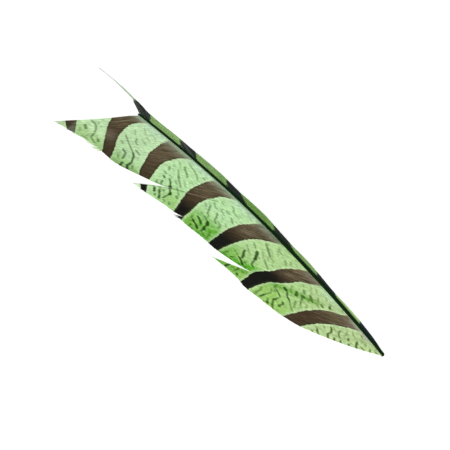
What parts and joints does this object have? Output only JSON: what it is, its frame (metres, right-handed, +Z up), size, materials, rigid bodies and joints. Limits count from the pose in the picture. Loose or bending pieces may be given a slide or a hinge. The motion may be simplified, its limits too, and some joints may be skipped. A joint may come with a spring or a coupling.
{
  "type": "pheasant tail feather",
  "caption": "Barred pheasant tail feather, dyed green: a cut length with its shaft, a split broad vane and a narrow vane, lying with its upper side up.",
  "frame": {"origin": "centre of the feather's box, at the level of the surface that it lies on", "axes": "+X along the shaft from the cut butt to the cut far end, +Y towards the broad vane, +Z up, out of the feather's upper side"},
  "size_m": [0.2032, 0.0406, 0.005],
  "materials": {
    "vane": "matte",
    "shaft": "satin"
  },
  "bodies": {
    "root": {"feather": "vane"}
  },
  "joints": []
}
